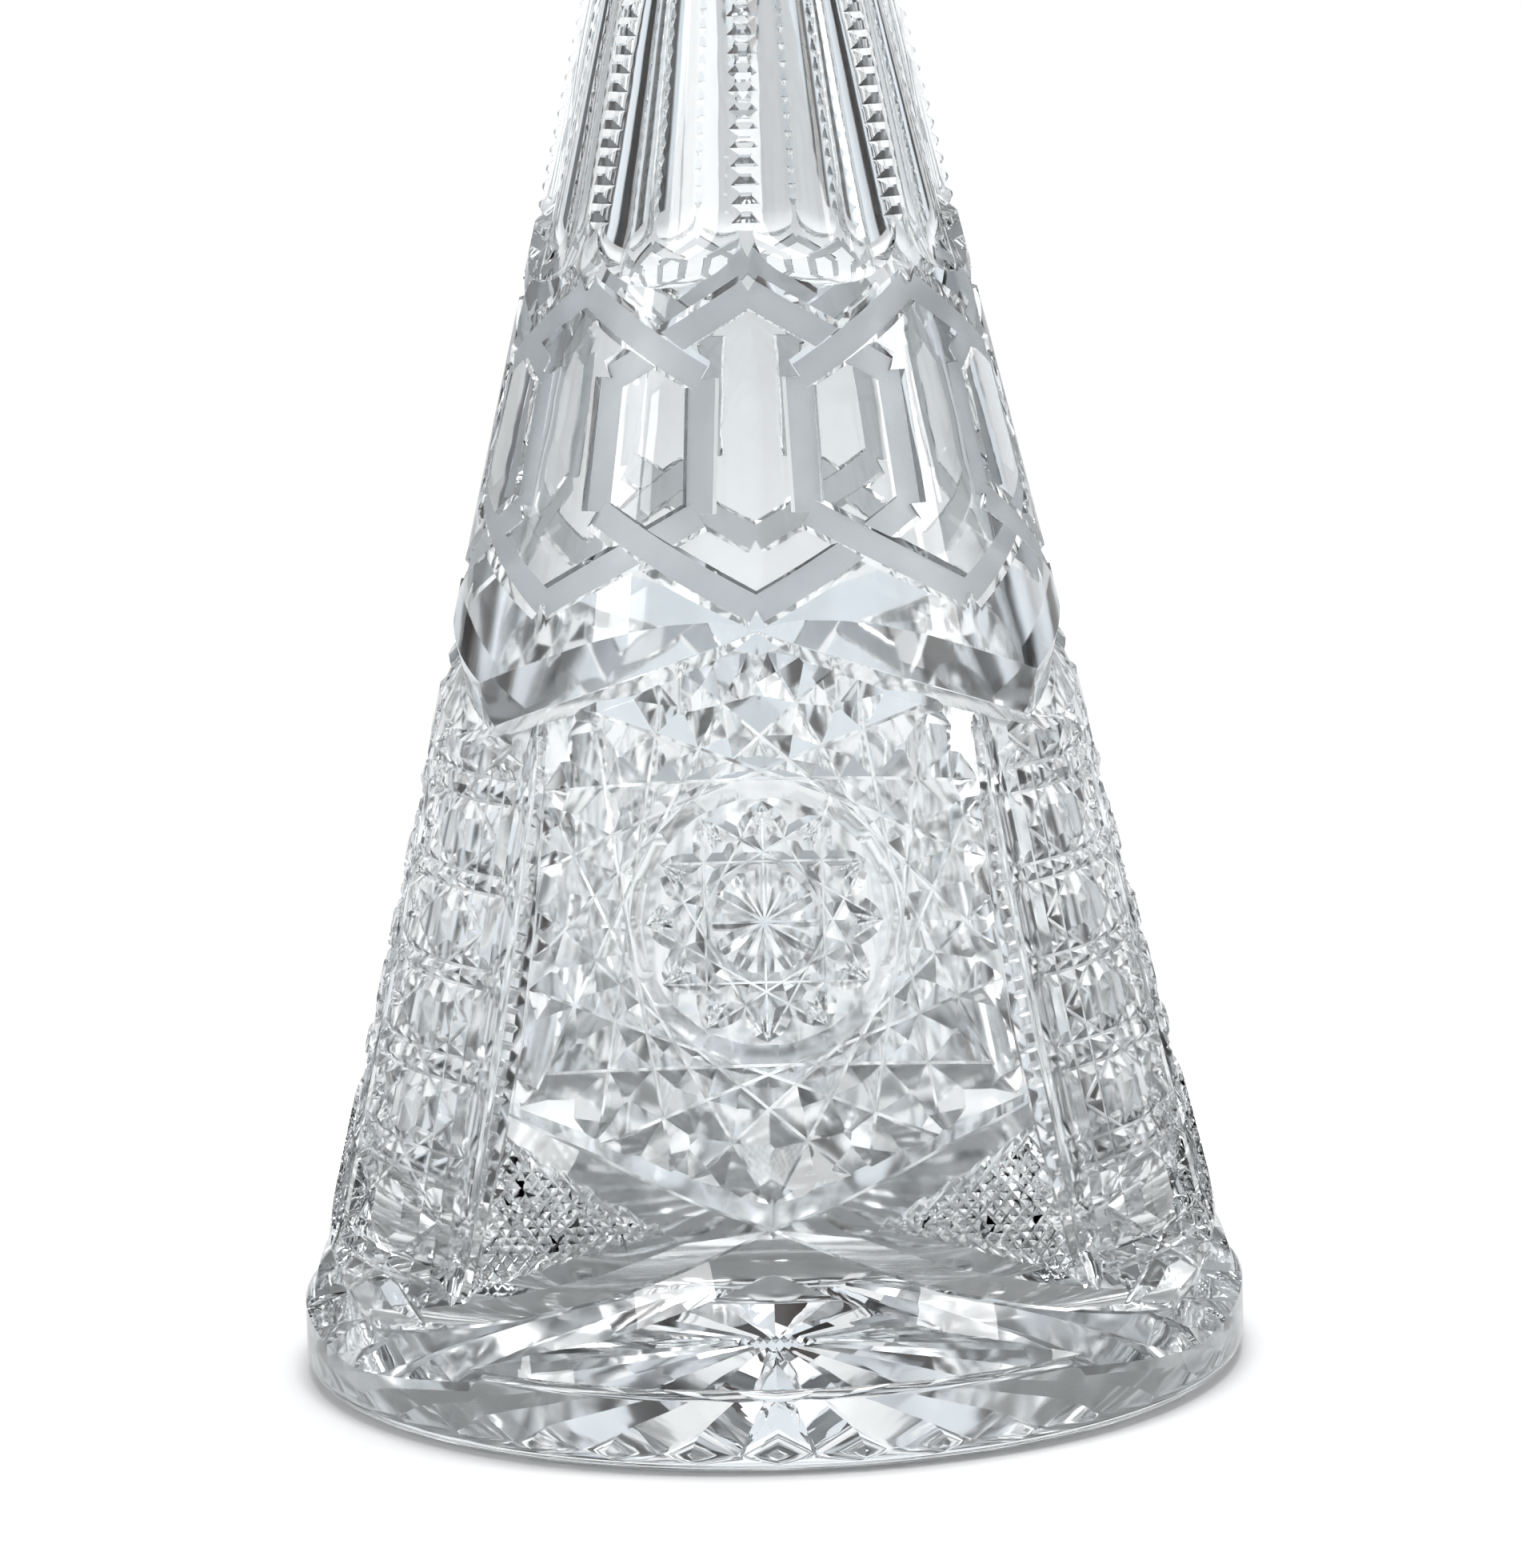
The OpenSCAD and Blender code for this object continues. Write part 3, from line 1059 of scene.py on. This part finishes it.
def satinMaterial(name):
    material = bpy.data.materials.new(name)
    material.use_nodes = True
    tree = material.node_tree
    shader = tree.nodes["Principled BSDF"]
    shader.inputs["Base Color"].default_value = glassLook["satinTint"]
    shader.inputs["IOR"].default_value = glassLook["ior"]
    shader.inputs["Transmission Weight"].default_value = glassLook["satinClear"]
    place = node(tree, "ShaderNodeTexCoord", -1100, 0)
    # fine scratches of the stone wheel
    grain = node(tree, "ShaderNodeTexNoise", -700, 100, Scale=2600.0, Detail=3.0)
    grainRange = node(tree, "ShaderNodeMapRange", -450, 100)
    grainRange.inputs["To Min"].default_value = glassLook["satinRoughness"] - 0.08
    grainRange.inputs["To Max"].default_value = glassLook["satinRoughness"] + 0.08
    bump = node(tree, "ShaderNodeBump", -300, -200, Strength=0.5, Distance=0.00004)
    tree.links.new(place.outputs["Object"], grain.inputs["Vector"])
    tree.links.new(grain.outputs["Fac"], grainRange.inputs["Value"])
    tree.links.new(grainRange.outputs["Result"], shader.inputs["Roughness"])
    # the grinding left some patches paler than others
    patches = node(tree, "ShaderNodeTexNoise", -700, 350, Scale=70.0, Detail=3.0)
    patchColour = node(tree, "ShaderNodeValToRGB", -450, 350)
    patchColour.color_ramp.elements[0].position = 0.35
    patchColour.color_ramp.elements[0].color = glassLook["satinDark"]
    patchColour.color_ramp.elements[1].position = 0.68
    patchColour.color_ramp.elements[1].color = glassLook["satinTint"]
    tree.links.new(place.outputs["Object"], patches.inputs["Vector"])
    tree.links.new(patches.outputs["Fac"], patchColour.inputs["Fac"])
    tree.links.new(patchColour.outputs["Color"], shader.inputs["Base Color"])
    tree.links.new(grain.outputs["Fac"], bump.inputs["Height"])
    tree.links.new(bump.outputs["Normal"], shader.inputs["Normal"])
    return material


bodyMaterials = [crystalMaterial("cutCrystal"), satinMaterial("satinCrystal"), blownMaterial("blownCrystal")]
body = makeBody(bodyMaterials)
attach(body, "decanter")
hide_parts("decanter_body")

stopper = makeStopper([crystalMaterial("stopperCrystal"), satinMaterial("groundCrystal")])
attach(stopper, "stopper")
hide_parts("stopper")
print("pieces made")


# A pale floor and a studio whose walls run from white screens to dark gaps, with soft lamps
studio = {
    "floorSize": 40.0,
    "floorColour": (0.8, 0.8, 0.8, 1.0),
    "floorGlow": 0.46,   # what the glass sees of it
    "floorShine": 0.84,   # what the camera sees of it
    "shadowReach": 0.1,
    "shadowFrom": 0.38,   # openness of the corner where the shadow is deepest
    "walls": [   # share of a turn from straight ahead of the camera, brightness and warmth
        (0.0, 0.85, 0), (0.022, 0.8, 0), (0.036, 0.04, 1), (0.07, 0.05, 1), (0.084, 0.85, 0),
        (0.12, 0.95, 0), (0.14, 0.05, 0), (0.19, 0.03, 1), (0.205, 0.7, 0), (0.25, 0.95, 0),
        (0.27, 0.05, 0), (0.335, 0.04, 0), (0.35, 0.8, 0), (0.4, 0.85, 0), (0.425, 0.05, 1),
        (0.485, 0.04, 0), (0.5, 0.85, 0), (0.55, 0.95, 0), (0.58, 0.06, 0), (0.645, 0.03, 0),
        (0.66, 0.75, 0), (0.71, 0.9, 0), (0.735, 0.05, 1), (0.795, 0.04, 0), (0.81, 0.85, 0),
        (0.86, 0.95, 0), (0.88, 0.05, 1), (0.935, 0.04, 0), (0.95, 0.8, 0), (1.0, 0.85, 0),
    ],
    "heights": [   # upward part of the direction, and brightness
        (0.0, 1.0, 0), (0.25, 1.0, 0), (0.42, 0.6, 0), (0.58, 0.18, 0),
        (0.82, 0.08, 0), (0.9, 0.7, 0), (1.0, 1.0, 0),
    ],
    "lamps": [   # name, place in metres, width, height, watts
        ("leftSoftbox", (-1.1, -0.7, 0.9), 0.4, 1.0, 9.0),
        ("rightSoftbox", (1.2, -0.3, 0.8), 0.3, 1.0, 7.0),
        ("topSoftbox", (0.1, 0.2, 1.5), 0.7, 0.7, 9.0),
    ],
}


def makeFloor():
    mesh = bmesh.new()
    half = studio["floorSize"] / 2
    corners = [mesh.verts.new((x * half, y * half, 0)) for x, y in ((-1, -1), (1, -1), (1, 1), (-1, 1))]
    mesh.faces.new(corners)
    floor = meshObject("floor", mesh, scaled=False)
    floor.location.z = -0.0002
    material = bpy.data.materials.new("paleFloor")
    material.use_nodes = True
    shader = material.node_tree.nodes["Principled BSDF"]
    shader.inputs["Base Color"].default_value = studio["floorColour"]
    shader.inputs["Roughness"].default_value = 0.7
    shader.inputs["Specular IOR Level"].default_value = 0.2
    shader.inputs["Emission Color"].default_value = (1.0, 1.0, 1.0, 1.0)
    tree = material.node_tree
    path = node(tree, "ShaderNodeLightPath", -500, -200)
    glow = node(tree, "ShaderNodeMapRange", -300, -200)
    glow.inputs["To Min"].default_value = studio["floorGlow"]
    glow.inputs["To Max"].default_value = studio["floorShine"]
    # painted contact shadow: the floor's glow is darkened by ambient occlusion in a soft dark line where the
    # foot meets the table
    paintedShadowOcclusion = node(tree, "ShaderNodeAmbientOcclusion", -500, -450, Distance=studio["shadowReach"])
    paintedShadowRange = node(tree, "ShaderNodeMapRange", -300, -450)
    paintedShadowRange.inputs["From Min"].default_value = studio["shadowFrom"]
    glowWithPaintedShadow = node(tree, "ShaderNodeMath", -100, -300)
    glowWithPaintedShadow.operation = "MULTIPLY"
    tree.links.new(path.outputs["Is Camera Ray"], glow.inputs["Value"])
    tree.links.new(paintedShadowOcclusion.outputs["AO"], paintedShadowRange.inputs["Value"])
    tree.links.new(glow.outputs["Result"], glowWithPaintedShadow.inputs[0])
    tree.links.new(paintedShadowRange.outputs["Result"], glowWithPaintedShadow.inputs[1])
    # the floor's emission is its glow times the painted contact shadow
    tree.links.new(glowWithPaintedShadow.outputs["Value"], shader.inputs["Emission Strength"])
    dress(floor, [material])


def makeLamps():
    for name, place, width, height, watts in studio["lamps"]:
        data = bpy.data.lights.new(name, "AREA")
        data.shape = "RECTANGLE"
        data.size = width
        data.size_y = height
        data.energy = watts
        lamp = bpy.data.objects.new(name, data)
        lamp.location = place
        aim = Vector((0, 0, 0.12)) - Vector(place)
        lamp.rotation_euler = aim.to_track_quat("-Z", "Y").to_euler()
        bpy.context.scene.collection.objects.link(lamp)


def rampFrom(tree, x, y, stops):
    ramp = node(tree, "ShaderNodeValToRGB", x, y)
    elements = ramp.color_ramp.elements
    while len(elements) < len(stops):
        elements.new(0.5)
    for element, (where, value, warmth) in zip(elements, stops):
        element.position = where
        element.color = (value * (1.25 if warmth else 0.965), value, value * (0.9 if warmth else 1.03), 1.0)
    ramp.color_ramp.interpolation = "EASE"
    return ramp


def makeWorld():
    world = bpy.data.worlds.new("studio")
    bpy.context.scene.world = world
    world.use_nodes = True
    tree = world.node_tree
    tree.nodes.clear()
    output = node(tree, "ShaderNodeOutputWorld", 800, 0)
    seen = node(tree, "ShaderNodeBackground", 400, 150, Color=(1.0, 1.0, 1.0, 1.0), Strength=1.0)
    lit = node(tree, "ShaderNodeBackground", 400, -50)
    mix = node(tree, "ShaderNodeMixShader", 600, 0)
    path = node(tree, "ShaderNodeLightPath", 200, 300)
    place = node(tree, "ShaderNodeTexCoord", -1100, -100)
    split = node(tree, "ShaderNodeSeparateXYZ", -900, -100)
    turn = node(tree, "ShaderNodeMath", -700, 0)
    turn.operation = "ARCTAN2"
    turned = node(tree, "ShaderNodeMath", -500, 0)
    turned.operation = "DIVIDE"
    turned.inputs[1].default_value = 2 * math.pi
    share = node(tree, "ShaderNodeMath", -300, 0)
    share.operation = "WRAP"
    share.inputs[1].default_value = 1.0
    share.inputs[2].default_value = 0.0
    walls = rampFrom(tree, -100, 0, studio["walls"])
    heights = rampFrom(tree, -100, -250, studio["heights"])
    both = node(tree, "ShaderNodeMix", 200, -100)
    both.data_type = "RGBA"
    both.blend_type = "MULTIPLY"
    both.inputs["Factor"].default_value = 1.0
    tree.links.new(place.outputs["Generated"], split.inputs["Vector"])
    tree.links.new(split.outputs["X"], turn.inputs[0])
    tree.links.new(split.outputs["Y"], turn.inputs[1])
    tree.links.new(turn.outputs["Value"], turned.inputs[0])
    tree.links.new(turned.outputs["Value"], share.inputs[0])
    tree.links.new(share.outputs["Value"], walls.inputs["Fac"])
    tree.links.new(split.outputs["Z"], heights.inputs["Fac"])
    tree.links.new(walls.outputs["Color"], both.inputs["A"])
    tree.links.new(heights.outputs["Color"], both.inputs["B"])
    tree.links.new(both.outputs["Result"], lit.inputs["Color"])
    tree.links.new(path.outputs["Is Camera Ray"], mix.inputs["Fac"])
    tree.links.new(lit.outputs["Background"], mix.inputs[1])
    tree.links.new(seen.outputs["Background"], mix.inputs[2])
    tree.links.new(mix.outputs["Shader"], output.inputs["Surface"])


cameraPlace = {
    "place": (0.0, -0.880, 0.232),
    "lens": 138.7,
    "sensor": 36,
    "lookDown": 9.45,   # degrees below level
    "roll": -1.5,
}


def makeCamera():
    data = bpy.data.cameras.new("camera")
    camera = bpy.data.objects.new("camera", data)
    camera.location = cameraPlace["place"]
    data.lens = cameraPlace["lens"]
    data.sensor_width = cameraPlace["sensor"]
    pitch = math.radians(90 - cameraPlace["lookDown"])
    roll = math.radians(cameraPlace["roll"])
    aim = Matrix.Rotation(pitch, 3, "X") @ Matrix.Rotation(roll, 3, "Z")
    camera.rotation_euler = aim.to_euler()
    bpy.context.scene.collection.objects.link(camera)
    bpy.context.scene.camera = camera


def setView():
    scene = bpy.context.scene
    scene.view_settings.view_transform = "Standard"
    scene.cycles.max_bounces = 32
    scene.cycles.transmission_bounces = 32
    scene.cycles.glossy_bounces = 8
    scene.cycles.transparent_max_bounces = 16
    scene.cycles.caustics_refractive = True
    scene.cycles.caustics_reflective = True


makeFloor()
makeLamps()
makeWorld()
makeCamera()
setView()
print("studio ready")

bpy.context.view_layer.update()
